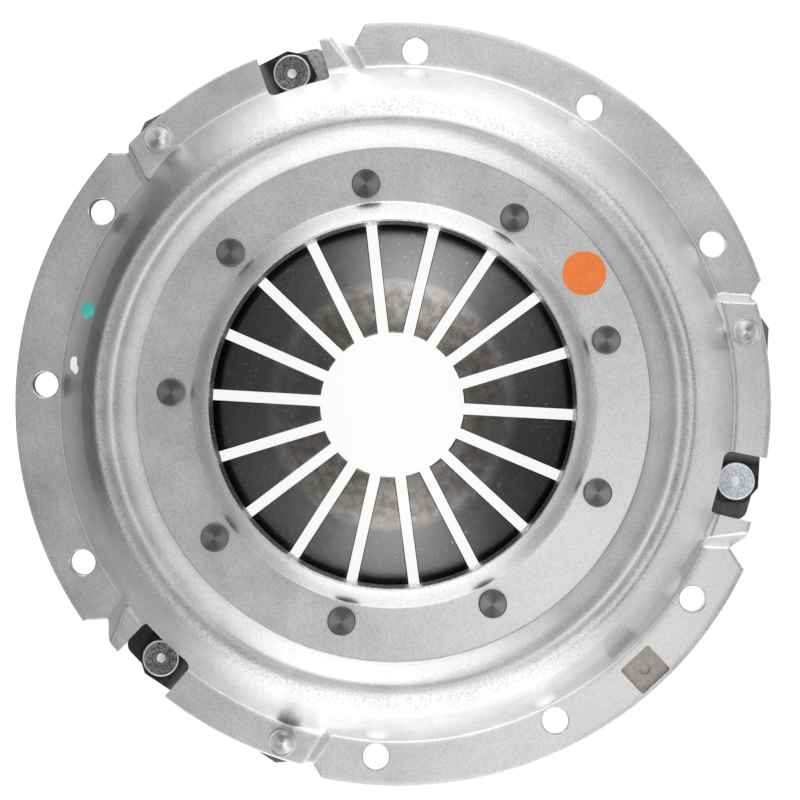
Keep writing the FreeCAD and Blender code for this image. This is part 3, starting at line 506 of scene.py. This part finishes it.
def zinc_plate():
    """Plated rivets: bright rim and dimple, and a pitted face, clean on the one at the right."""
    material, shader = new_material("lug_rivet_zinc")
    point = shader.place()
    height = shader.split(point)[2]
    pits = shader.noise(point, 1500, 4, 0.8)
    sunken = shader.ramp_over(height, RIVET_REACH, [
        (8.24, 0.0), (8.34, 1.0), (9.01, 1.0), (9.06, 0.0),
    ])
    turn = shader.math("MULTIPLY", shader.around(point), 2 * math.pi)
    cleaner = shader.ramp(shader.math("COSINE", turn), [(0.6, 0.0), (0.8, 0.85)])
    dark = shader.ramp(pits, [(0.4, (0.05, 0.05, 0.055)), (0.64, (0.4, 0.4, 0.42))])
    clean = shader.ramp(pits, [(0.36, (0.4, 0.42, 0.44)), (0.62, (0.9, 0.92, 0.95))])
    plain = shader.ramp(pits, [(0.3, (0.75, 0.75, 0.77)), (0.7, (0.95, 0.95, 0.97))])
    tone = shader.mix(sunken, plain, shader.mix(cleaner, dark, clean))
    metallic = shader.math("MULTIPLY_ADD", cleaner, -0.35, 0.95)
    rough = shader.math("MULTIPLY_ADD", pits, 0.3, 0.2)
    normal = shader.bump(pits, 0.5, 0.08 * MM)
    shader.surface(Base_Color=tone, Metallic=metallic, Roughness=rough, Normal=normal)
    return material


def blackened_strap():
    """Spring strip: black at its flat end, greyer where it bends away under the cover."""
    material, shader = new_material("strap_steel")
    point = shader.place()
    bloom = shader.noise(point, 180, 4, 0.6)
    x, y, _ = shader.split(point)
    sector = 2 * math.pi / SECTORS
    turn = shader.math("ADD", shader.math("ARCTAN2", y, x), sector / 2)
    local = shader.math("SUBTRACT", shader.math("FLOORED_MODULO", turn, sector), sector / 2)
    across = shader.math("MULTIPLY", shader.radius(point), shader.math("SINE", local))
    along = shader.math("ADD", across, STRAP_REACH * MM)
    bent = shader.ramp_over(along, STRAP_REACH, [(26.6, 0.0), (29.2, 1.0)])
    tone = shader.ramp(bloom, [(0.45, (0.012, 0.012, 0.014)), (0.75, (0.06, 0.06, 0.065))])
    tone = shader.mix(bent, tone, (0.16, 0.16, 0.165))
    normal = shader.bump(shader.noise(point, 900, 3), 0.15, 0.05 * MM)
    shader.surface(Base_Color=tone, Metallic=0.6, Roughness=0.42, Normal=normal)
    return material


# The photograph's angle where the cast iron is cleanest
IRON_CLEAN_ANGLE = math.radians(80)


def plate_iron():
    """Rough cast iron, cleaner at the photograph's top and oily at its bottom."""
    material, shader = new_material("plate_iron")
    point = shader.place()
    sand = shader.noise(point, 700, 5, 0.7)
    turn = shader.math("MULTIPLY", shader.around(point), 2 * math.pi)
    side = shader.math("COSINE", shader.math("SUBTRACT", turn, IRON_CLEAN_ANGLE))
    clean = shader.ramp(shader.math("MULTIPLY_ADD", side, 0.5, 0.5), [
        (0.1, (0.03, 0.03, 0.028)), (0.45, (0.16, 0.16, 0.16)), (0.9, (0.55, 0.55, 0.55)),
    ])
    tone = shader.mix(shader.ramp(sand, [(0.35, 0.5), (0.6, 0.0)]), clean, (0.06, 0.06, 0.06))
    normal = shader.bump(sand, 0.7, 0.12 * MM)
    shader.surface(Base_Color=tone, Metallic=0.8, Roughness=0.52, Normal=normal)
    return material


def mark_paper():
    """A matt orange paper dot with a little soiling."""
    material, shader = new_material("mark_orange")
    point = shader.place()
    fibre = shader.noise(point, 2200, 3)
    soil = shader.noise(point, 160, 4, 0.6)
    tone = shader.ramp(fibre, [(0.3, (0.66, 0.135, 0.01)), (0.7, (0.77, 0.19, 0.018))])
    tone = shader.mix(shader.ramp(soil, [(0.5, 0.0), (0.75, 0.35)]), tone, (0.42, 0.1, 0.02))
    shader.surface(Base_Color=tone, Roughness=0.6, Normal=shader.bump(fibre, 0.2, 0.03 * MM))
    return material


def dress(names, material):
    """Give nodes that keep their shape a material of their own."""
    for name in names:
        slots = NODES[name].data.materials
        slots.clear()
        slots.append(material)


def numbered(stem, count):
    return [f"{stem}_{number}" for number in range(1, count + 1)]


def new_piece(name, mesh, material, body, replaced):
    """Set a finished mesh in the scene in place of the nodes that it stands for."""
    mesh.materials.clear()
    mesh.materials.append(material)
    piece = bpy.data.objects.new(name, mesh)
    bpy.context.scene.collection.objects.link(piece)
    if body:
        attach(piece, body)
    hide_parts(*replaced)
    return piece


# Meshes: the angle from which an edge is sharp, and the steps in a small rounded corner
SHARP_ANGLE = math.radians(30)
CORNER_STEPS = 5


def mesh_from(name, points, faces):
    """A mesh from points in millimetres, smooth apart from edges sharper than an angle."""
    mesh = bpy.data.meshes.new(name)
    mesh.from_pydata([Vector(point) * MM for point in points], [], faces)
    mesh.validate()
    mesh.shade_smooth()
    mesh.set_sharp_from_angle(angle=SHARP_ANGLE)
    return mesh


def bend_at(before, here, after, bend, steps):
    """The points of an arc that rounds a corner, or the corner alone where it has no bend."""
    if not bend:
        return [here]
    back = (before - here).normalized()
    ahead = (after - here).normalized()
    half = max(back.angle(ahead) / 2, 1e-3)
    reach = bend / math.tan(half)
    centre = here + (back + ahead).normalized() * (bend / math.sin(half))
    start = here + back * reach - centre
    turn = start.angle_signed(here + ahead * reach - centre)
    return [
        centre + Matrix.Rotation(-turn * step / steps, 2) @ start for step in range(steps + 1)
    ]


def bent_loop(corners, steps, fills):
    """A closed outline through corners (x, z, bend), with some points along each side."""
    count = len(corners)
    points = [Vector((x, z)) for x, z, _ in corners]
    arcs = [
        bend_at(points[index - 1], points[index], points[(index + 1) % count], bend, steps)
        for index, (_, _, bend) in enumerate(corners)
    ]
    outline = []
    for index, (arc, fill) in enumerate(zip(arcs, fills)):
        following = arcs[(index + 1) % count][0]
        outline += arc + [arc[-1].lerp(following, part / fill) for part in range(1, fill)]
    return outline


def soft_profile(corners):
    """An open profile of radius, height and bend, from one point of the axis to another."""
    points = [Vector((radius, height)) for radius, height, _ in corners]
    profile = [points[0]]
    for index in range(1, len(corners) - 1):
        around = points[index - 1:index + 2]
        profile += bend_at(*around, corners[index][2], CORNER_STEPS)
    return [(point.x, point.y) for point in profile + [points[-1]]]


def offset_corners(corners, distance):
    """The corners of an open line moved sideways, to the right of its direction."""
    points = [Vector((x, z)) for x, z in corners]
    lines = []
    for start, end in zip(points, points[1:]):
        along = (end - start).normalized()
        side = Vector((along.y, -along.x)) * distance
        lines.append((start + side, along))
    moved = [lines[0][0]]
    for (first, along), (second, ahead) in zip(lines, lines[1:]):
        across = along.x * ahead.y - along.y * ahead.x
        gap = second - first
        share = (gap.x * ahead.y - gap.y * ahead.x) / across
        moved.append(first + along * share)
    last, along = lines[-1]
    moved.append(last + along * (points[-1] - points[-2]).length)
    return moved


# Sizes of the cover in millimetres, with corners as radius and height of its upper side
SECTORS = 3
SHEET = 3.8
LIP = (60.4, 36.0)
LIP_FOOT = 59.2
SEAT_INNER = (66.9, 31.0)
SEAT_OUTER = (84.8, 31.0)
CREST = (95.8, 38.4)
FLANGE_WALL = [(104.2, 26.6), (110.6, 15.8), (114.2, 9.0)]
RAISED_WALL = [(104.2, 27.4), (114.7, 13.1), (115.4, 12.95)]
FOOT_RADIUS = 116.2
FLANGE_RADIUS = 132.5
PAD_TOP = 12.8
PAD_RADIUS = 127.3
SHEARED_EDGE = 0.35

# Wall from which the inner side is offset beside the flange, to keep the solid's distance inside
FLANGE_INSIDE = [(104.2, 26.6), (111.2, 14.7), (114.6, 13.2)]

# Bends of the cover's section, on its upper side and then on its lower one, from the lip outward
CROWN_BENDS = [0.5, 1.2, 1.0, 8.0]
FLANGE_WALL_BENDS = [16, 8.0, 6.0]
RAISED_WALL_BENDS = [16, 1.6, 0.6]
RIM_BENDS = [1.5, 0.8]
LOWER_BENDS = [SHEARED_EDGE, 5.0, 4.8, 4.4, 12, 5.4, 0.5, 5.2, SHEARED_EDGE]

# Steps in each bend of the section, and parts of the side that follows each bend
ARC_STEPS = 6
SECTION_FILLS = [2, 6, 2, 2, 2, 1, 1, 8, 1, 8, 3, 1, 2, 2, 2, 6, 2, 2]

# Sides of a raised sector: ramp's top and foot, the top's lean, outline by radius and distance
STRAP_SIDE = (41.2, 43.6, 0.0, [(127.3, 40.4), (127.2, 41.4), (127.2, 43.3), (132.0, 49.2)])
WINDOW_SIDE = (38.2, 42.8, 0.22, [(127.3, 37.4), (127.0, 38.8), (124.9, 42.8), (132.0, 49.6)])
# Ramps: radius of no lean and how far from it lean counts, inset on the inner side and softening
RAMP_MIDDLE = 113.0
RAMP_REACH = 8.0
RAMP_INSET = 2.8
RAMP_SOFTENING = 0.5
# How widely the wall goes over into a raised sector, and the inner side into its ramps
WALL_EASE = 13.0
UNDERSIDE_EASE = 1.6


def smooth(share):
    share = min(max(share, 0.0), 1.0)
    return share * share * (3 - 2 * share)


def side_of(local):
    return STRAP_SIDE if local > 0 else WINDOW_SIDE


def ramp_height(radius, local, inset=0.0, softening=RAMP_SOFTENING):
    """Height of flange or pad, whose ramp's top leans in, at an angle from a sector's middle."""
    top, foot, lean, _ = side_of(local)
    along = radius * math.cos(local)
    across = radius * abs(math.sin(local)) + inset
    top -= lean * min(max(along - RAMP_MIDDLE, -RAMP_REACH), RAMP_REACH)
    share = (across - top + softening) / (foot - top + 2 * softening)
    return PAD_TOP + (SHEET - PAD_TOP) * smooth(share)


def outline_angles(local):
    return [math.asin(across / radius) for radius, across in side_of(local)[3]]


def outline_radius(local):
    """Radius of the cover's outline at an angle from the middle of a raised sector."""
    marks = side_of(local)[3]
    angles = outline_angles(local)
    local = abs(local)
    if local <= angles[0]:
        return PAD_RADIUS
    if local >= angles[-1]:
        return FLANGE_RADIUS
    pair = max(index for index, angle in enumerate(angles[:-1]) if local >= angle)
    start, end = [
        Vector((radius * math.cos(angle), radius * math.sin(angle)))
        for (radius, _), angle in zip(marks[pair:pair + 2], angles[pair:pair + 2])
    ]
    along = end - start
    ray = Vector((math.cos(local), math.sin(local)))
    return (along.x * start.y - along.y * start.x) / (along.x * ray.y - along.y * ray.x)


def cover_section(local):
    """The closed section of the cover at an angle from the middle of a raised sector."""
    rim = outline_radius(local)
    upper_foot = ramp_height(FOOT_RADIUS, local)
    lower_foot = ramp_height(FOOT_RADIUS, local, RAMP_INSET)
    raised, raised_below = [
        (foot - SHEET) / (PAD_TOP - SHEET) for foot in (upper_foot, lower_foot)
    ]
    eased = (ramp_height(RAMP_MIDDLE, local, 0.0, WALL_EASE) - SHEET) / (PAD_TOP - SHEET)
    wall = [
        Vector(low).lerp(Vector(high), share)
        for low, high, share in zip(FLANGE_WALL, RAISED_WALL, (eased, eased, raised))
    ]
    inside = [
        Vector(low).lerp(Vector(high), raised_below)
        for low, high in zip(FLANGE_INSIDE, RAISED_WALL)
    ]
    wall_bends = [
        low + (high - low) * raised for low, high in zip(FLANGE_WALL_BENDS, RAISED_WALL_BENDS)
    ]
    crown = [LIP, SEAT_INNER, SEAT_OUTER, CREST]
    upper = crown + wall + [(FOOT_RADIUS, upper_foot), (rim, upper_foot)]
    lower = offset_corners(crown + inside + [(FOOT_RADIUS, lower_foot), (rim, lower_foot)], SHEET)
    lower[0] = lower[1].lerp(lower[0], (LIP_FOOT - lower[1].x) / (lower[0].x - lower[1].x))
    bends = CROWN_BENDS + wall_bends + RIM_BENDS
    loop = [(x, z, bend) for (x, z), bend in zip(upper, bends)]
    loop += [(x, z, bend) for (x, z), bend in reversed(list(zip(lower, LOWER_BENDS)))]
    points = bent_loop(loop, ARC_STEPS, SECTION_FILLS)
    lower_start = sum(ARC_STEPS + fill for fill in SECTION_FILLS[:len(bends)])
    placed = []
    for index, point in enumerate(points):
        if index < lower_start:
            share = (point.x - wall[2].x) / (FOOT_RADIUS - wall[2].x)
            change = ramp_height(point.x, local) - upper_foot
        else:
            share = (point.x - FLANGE_WALL[1][0]) / UNDERSIDE_EASE
            change = ramp_height(point.x, local, RAMP_INSET) - lower_foot
        placed.append((point.x, point.y + change * min(max(share, 0.0), 1.0)))
    return placed


# Angles of the cover's sections: where they stand close together, and their steps
RAMP_SPAN = (math.radians(15.8), math.radians(23.4))
FINE_TURN = math.radians(0.12)
COARSE_TURN = math.radians(0.75)
LEAST_TURN = math.radians(0.01)


def cover_angles():
    """Angles round one third of the cover, closer together at the ramps and at each corner."""
    half = math.pi / SECTORS
    angles = []
    for side in (-1, 1):
        angle = 0.0
        while angle < half:
            angles.append(side * angle)
            angle += FINE_TURN if RAMP_SPAN[0] < angle < RAMP_SPAN[1] else COARSE_TURN
        angles += [side * corner for corner in outline_angles(side)]
    angles = sorted(set(angles))
    kept = [angles[0]]
    for angle in angles[1:]:
        if angle - kept[-1] > LEAST_TURN:
            kept.append(angle)
    return kept


def swept_ring(columns):
    """A closed ring through sections, each an angle and its loop of radius and height."""
    points = []
    for turn, section in columns:
        points += [(x * math.cos(turn), x * math.sin(turn), z) for x, z in section]
    rows = len(columns[0][1])
    faces = []
    for column in range(len(columns)):
        after = (column + 1) % len(columns)
        for row in range(rows):
            below = (row + 1) % rows
            faces.append((column * rows + row, column * rows + below,
                          after * rows + below, after * rows + row))
    return points, faces


def face_outward(mesh):
    work = bmesh.new()
    work.from_mesh(mesh)
    bmesh.ops.recalc_face_normals(work, faces=work.faces[:])
    work.to_mesh(mesh)
    work.free()


def cut_mesh(name, points, faces, cutters):
    """A mesh with cutters taken out of it."""
    scratch = bpy.data.objects.new(name, mesh_from(name, points, faces))
    tool = bpy.data.objects.new("cutters", mesh_from("cutters", *joined(cutters)))
    face_outward(tool.data)
    for item in (scratch, tool):
        bpy.context.scene.collection.objects.link(item)
    cut = scratch.modifiers.new("cut", "BOOLEAN")
    cut.operation = "DIFFERENCE"
    cut.solver = "MANIFOLD"
    cut.object = tool
    graph = bpy.context.evaluated_depsgraph_get()
    finished = bpy.data.meshes.new_from_object(scratch.evaluated_get(graph))
    finished.name = name
    bpy.data.objects.remove(scratch)
    bpy.data.objects.remove(tool)
    finished.shade_smooth()
    finished.set_sharp_from_angle(angle=SHARP_ANGLE)
    return finished


def make_cover(material):
    """The cover pressing, as a closed section carried round the axis and then blanked."""
    columns = [
        (local + sector * 2 * math.pi / SECTORS, cover_section(local))
        for sector in range(SECTORS) for local in cover_angles()
    ]
    mesh = cut_mesh("cover_pressing", *swept_ring(columns), cover_cutters())
    return new_piece("cover_pressing", mesh, material, COVER_BODY, ["cover"])


def prism(outline, low, high):
    """A closed prism over an outline of XY points in millimetres."""
    count = len(outline)
    points = [(x, y, low) for x, y in outline] + [(x, y, high) for x, y in outline]
    faces = [tuple(reversed(range(count))), tuple(range(count, 2 * count))]
    faces += [(i, (i + 1) % count, (i + 1) % count + count, i + count) for i in range(count)]
    return points, faces


def lathe(profile, segments, centre):
    """A closed solid from a profile of radius and height that starts and ends on its axis."""
    points = [(centre[0], centre[1], profile[0][1])]
    inner = profile[1:-1]
    for index in range(segments):
        turn = 2 * math.pi * index / segments
        points += [
            (centre[0] + radius * math.cos(turn), centre[1] + radius * math.sin(turn), height)
            for radius, height in inner
        ]
    points.append((centre[0], centre[1], profile[-1][1]))
    rows = len(inner)
    last = len(points) - 1
    faces = []
    for index in range(segments):
        here = 1 + index * rows
        after = 1 + (index + 1) % segments * rows
        faces.append((0, after, here))
        faces.append((last, here + rows - 1, after + rows - 1))
        faces += [(here + row, after + row, after + row + 1, here + row + 1)
                  for row in range(rows - 1)]
    return points, faces


def joined(parts):
    """Several point and face lists as one."""
    points, faces = [], []
    for more_points, more_faces in parts:
        first = len(points)
        points += more_points
        faces += [tuple(first + corner for corner in face) for face in more_faces]
    return points, faces


# Bolt holes of the cover: radius of their circle, width and angles in each third
BOLT_CIRCLE = 122.0
BOLT_HOLE = 9.0
BOLT_ANGLES = (30, 60, 90)
HOLE_CHAMFER = 0.4
HOLE_SEGMENTS = 48
# Corners of a window as x, y and bend
WINDOW = [(108.3, -30.4, 1.5), (135, -35.3, 0), (137, -12.6, 0), (111.8, -9.1, 3.0),
          (110.5, -20.0, 0)]
# Square hole of the balance insert: its angle, then nearest and farthest radius and half width
BALANCE_ANGLE = 196.5
BALANCE_SQUARE = (119.6, 131.0, 6.5)
BALANCE_CORNER = 0.9
# How far down and up the cutters reach
CUTTER_FOOT = -3
FLANGE_CUTTER_TOP = 8
WINDOW_CUTTER_TOP = 22


def punch(corners, degrees, top):
    """A prism over corners (x, y, bend) turned about the axis."""
    turn = Matrix.Rotation(math.radians(degrees), 2)
    loop = bent_loop(corners, CORNER_STEPS, [1] * len(corners))
    outline = [tuple(turn @ point) for point in loop]
    return prism(outline, CUTTER_FOOT, top)


def cover_cutters():
    """What is punched out of the cover: bolt holes, windows and the balance hole."""
    parts = []
    half = BOLT_HOLE / 2
    wide = half + HOLE_CHAMFER
    profile = [
        (0, CUTTER_FOOT), (wide, CUTTER_FOOT), (wide, 0), (half, HOLE_CHAMFER),
        (half, SHEET - HOLE_CHAMFER), (wide, SHEET), (wide, FLANGE_CUTTER_TOP),
        (0, FLANGE_CUTTER_TOP),
    ]
    for sector in range(SECTORS):
        base = 360 / SECTORS * sector
        for degrees in BOLT_ANGLES:
            turn = math.radians(base + degrees)
            centre = (BOLT_CIRCLE * math.cos(turn), BOLT_CIRCLE * math.sin(turn))
            parts.append(lathe(profile, HOLE_SEGMENTS, centre))
        parts.append(punch(WINDOW, base, WINDOW_CUTTER_TOP))
    low, high, side = BALANCE_SQUARE
    corners = [(low, -side), (high, -side), (high, side), (low, side)]
    square = [(x, y, BALANCE_CORNER) for x, y in corners]
    parts.append(punch(square, BALANCE_ANGLE, FLANGE_CUTTER_TOP))
    return parts


# Sizes of the spring in millimetres, with its slits by radius and half width
SPRING_TIPS = 23.6
SPRING_KNEE = 40.0
SPRING_RIM = 98.5
SPRING_THICKNESS = 2.4
SPRING_COLUMNS = 180
SPRING_EDGE = 0.5
SPRING_KNEE_BEND = 15
SPRING_ARC_STEPS = 4
SPRING_FILLS = [3, 5, 1, 5, 3, 1]
FINGER_SLOPE = math.radians(9)
CONE_SLOPE = math.radians(15)
SLITS = 18
SLIT = [(21.0, 1.8), (40.0, 1.8), (64.0, 1.8), (66.5, 5.0), (77.4, 5.0)]
SLIT_CHAMFER = 0.3
SLIT_CLEARANCE = 2.0


def spring_height(radius):
    """Height of the spring's upper face at a radius."""
    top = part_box("diaphragm_spring")[1][2] / MM
    top -= (min(radius, SPRING_KNEE) - SPRING_TIPS) * math.tan(FINGER_SLOPE)
    return top - max(radius - SPRING_KNEE, 0) * math.tan(CONE_SLOPE)


def slit_cutter(turn):
    """A slit with chamfered upper edges, following the spring's slope."""
    points = []
    for radius, half in SLIT:
        top = spring_height(radius)
        wide = half + SLIT_CHAMFER + SLIT_CLEARANCE
        below = top - SPRING_THICKNESS - 2 * SLIT_CLEARANCE
        side = [(-wide, top + SLIT_CLEARANCE), (-half, top - SLIT_CHAMFER), (-half, below)]
        for across, height in side + [(-across, height) for across, height in reversed(side)]:
            points.append((
                radius * math.cos(turn) - across * math.sin(turn),
                radius * math.sin(turn) + across * math.cos(turn),
                height,
            ))
    rows = len(points) // len(SLIT)
    last = len(points) - rows
    faces = [tuple(range(rows)), tuple(reversed(range(last, last + rows)))]
    for start in range(0, last, rows):
        faces += [
            (start + row, start + rows + row, start + rows + (row + 1) % rows,
             start + (row + 1) % rows)
            for row in range(rows)
        ]
    return points, faces


def make_spring(material):
    """The diaphragm spring, swept from its section and slit into fingers."""
    radii = (SPRING_TIPS, SPRING_KNEE, SPRING_RIM)
    slopes = (FINGER_SLOPE, CONE_SLOPE, CONE_SLOPE)
    bends = (SPRING_EDGE, SPRING_KNEE_BEND, SPRING_EDGE)
    upper = [(radius, spring_height(radius), bend) for radius, bend in zip(radii, bends)]
    lower = [
        (radius, height - SPRING_THICKNESS / math.cos(slope), bend)
        for (radius, height, bend), slope in zip(upper, slopes)
    ]
    loop = bent_loop(upper + lower[::-1], SPRING_ARC_STEPS, SPRING_FILLS)
    section = [(point.x, point.y) for point in loop]
    columns = [
        (2 * math.pi * column / SPRING_COLUMNS, section) for column in range(SPRING_COLUMNS)
    ]
    cutters = [slit_cutter(2 * math.pi * slit / SLITS) for slit in range(SLITS)]
    mesh = cut_mesh("spring_fingers", *swept_ring(columns), cutters)
    piece = new_piece("spring_fingers", mesh, material, COVER_BODY,
                      ["diaphragm_spring"])
    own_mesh(piece)


def middle_of(node):
    low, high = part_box(node)
    return (low[0] + high[0]) / 2 / MM, (low[1] + high[1]) / 2 / MM


RIVET_SEGMENTS = 64
SPRING_RIVETS = 9


def make_rivet(node, profile, material, body):
    """A rivet turned from a profile, in place of its node."""
    points, faces = lathe(profile, RIVET_SEGMENTS, middle_of(node))
    name = f"{node}_turned"
    return new_piece(name, mesh_from(name, points, faces), material, body, [node])


def lug_rivet_profile():
    """A flat headed rivet: a bright rim round a sunken face, with a dimple in the middle."""
    low, seat, top = 0.8, 5.9, 9.1
    return soft_profile([
        (0, low, 0), (4.0, low, 0.3), (4.0, seat, 0), (6.4, seat, 0.2), (6.4, top, 0.45),
        (5.8, top, 0.08), (5.7, top - 0.12, 0.05), (3.15, top - 0.16, 0.08),
        (2.9, top - 0.5, 0.1), (1.9, top - 0.5, 0.12), (1.5, top - 0.9, 0.2),
        (0, top - 1.0, 0),
    ])


def strap_rivet_profile():
    """A low domed rivet inside a bright brim."""
    foot, neck, seat, brim, top = 5.4, 7.2, 12.8, 14.8, 15.7
    return soft_profile([
        (0, foot, 0), (4.7, foot, 0.3), (4.7, neck, 0), (3.0, neck, 0), (3.0, seat, 0),
        (4.75, seat, 0.1), (4.75, brim, 0.35), (4.25, brim, 0.1), (4.15, brim - 0.25, 0.1),
        (3.0, brim + 0.2, 3.0), (0, top, 0),
    ])


# Straps: rivet centres along the strap's own line, and how far from them each end stays flat
STRAP_LINE = 117.3
STRAP_RIVET_PLACE = 31.0
LUG_RIVET_PLACE = -19.6
STRAP_CLAMP = 8.0
LEAVES = 3
LEAF_STEP = 2.0


def make_leaf(pack, leaf, material):
    """A strap leaf, sliced across at steps between the ends that stay flat."""
    node = f"strap_{pack}_leaf_{leaf}"
    source = NODES[node]
    turn = Matrix.Rotation(2 * math.pi * (pack - 1) / SECTORS, 3, "Z")
    mesh = bpy.data.meshes.new(f"{node}_bending")
    work = bmesh.new()
    work.from_mesh(source.data)
    work.transform(source.matrix_world)
    start = STRAP_RIVET_PLACE - STRAP_CLAMP
    end = LUG_RIVET_PLACE + STRAP_CLAMP
    place = start
    while place >= end:
        geometry = work.verts[:] + work.edges[:] + work.faces[:]
        bmesh.ops.bisect_plane(
            work, geom=geometry, plane_co=turn @ Vector((STRAP_LINE, place, 0)) * MM,
            plane_no=turn @ Vector((0, 1, 0)),
        )
        place -= LEAF_STEP
    work.to_mesh(mesh)
    work.free()
    piece = new_piece(mesh.name, mesh, material, None, [node])
    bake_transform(piece)


make_world()
make_dome()
make_floor()
for lamp in LAMPS:
    make_lamp(*lamp)
make_camera()

make_cover(steel_cover())
make_spring(spring_steel())
strap_rivet_steel = turned_steel("strap_rivet_steel", 0.42, 0.95, 0.3)
for rivet in numbered("strap_rivet", SECTORS):
    make_rivet(rivet, strap_rivet_profile(), strap_rivet_steel, COVER_BODY)
lug_rivet_zinc = zinc_plate()
for rivet in numbered("lug_rivet", SECTORS):
    make_rivet(rivet, lug_rivet_profile(), lug_rivet_zinc, PLATE_BODY)
strap_steel = blackened_strap()
for pack in range(1, SECTORS + 1):
    for leaf in range(1, LEAVES + 1):
        make_leaf(pack, leaf, strap_steel)
dress(["pivot_ring_upper", "pivot_ring_lower"], plain_steel("wire_steel", (0.5, 0.5, 0.51), 0.35))
dress(numbered("spring_rivet", SPRING_RIVETS), turned_steel("spring_rivet_steel", 0.13, 0.26, 0.34))
dress(["pressure_plate"], plate_iron())
dress(["balance_insert"], plain_steel("insert_steel", (0.52, 0.48, 0.45), 0.5))
dress(["inspection_mark"], mark_paper())

scene = bpy.context.scene
scene.view_settings.view_transform = "Standard"
